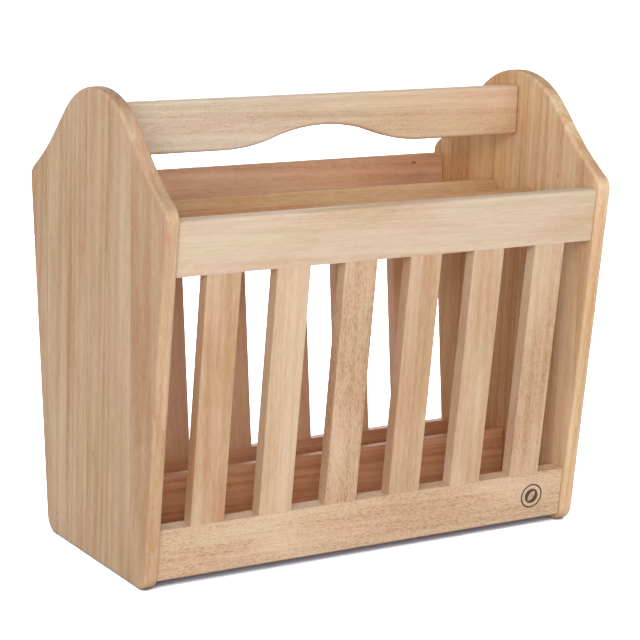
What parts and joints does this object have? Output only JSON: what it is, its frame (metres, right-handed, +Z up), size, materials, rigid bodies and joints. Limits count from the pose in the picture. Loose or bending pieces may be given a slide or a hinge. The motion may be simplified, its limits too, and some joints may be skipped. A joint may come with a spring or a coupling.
{
  "type": "magazine rack",
  "caption": "Free-standing slatted wooden magazine rack with shaped end panels, a carrying handle along the middle and two open compartments.",
  "frame": {"origin": "on the floor, under the middle of the rack", "axes": "+Z up, X along the handle from one end panel to the other, -Y towards the front slatted side"},
  "size_m": [0.41, 0.2454, 0.38],
  "materials": {
    "panel_wood": "satin clear lacquer",
    "handle_wood": "satin clear lacquer",
    "rail_wood": "satin clear lacquer",
    "slat_wood": "satin clear lacquer",
    "inner_wood": "satin clear lacquer",
    "dowel_wood": "bare"
  },
  "bodies": {
    "root": {"left_end_panel": "panel_wood", "right_end_panel": "panel_wood", "handle_board": "handle_wood", "centre_board": "inner_wood", "base_board": "inner_wood", "front_divider_rail": "inner_wood", "rear_divider_rail": "inner_wood", "front_bottom_rail": "rail_wood", "front_top_rail": "rail_wood", "front_slat_1": "slat_wood", "front_slat_2": "slat_wood", "front_slat_3": "slat_wood", "front_slat_4": "slat_wood", "front_slat_5": "slat_wood", "front_slat_6": "slat_wood", "back_bottom_rail": "rail_wood", "back_top_rail": "rail_wood", "back_slat_1": "slat_wood", "back_slat_2": "slat_wood", "back_slat_3": "slat_wood", "back_slat_4": "slat_wood", "back_slat_5": "slat_wood", "back_slat_6": "slat_wood", "handle_dowels": "dowel_wood", "top_rail_dowels": "dowel_wood", "bottom_rail_dowels": "dowel_wood", "divider_dowels": "dowel_wood", "centre_board_dowels": "dowel_wood", "base_dowels": "dowel_wood"}
  },
  "joints": []
}
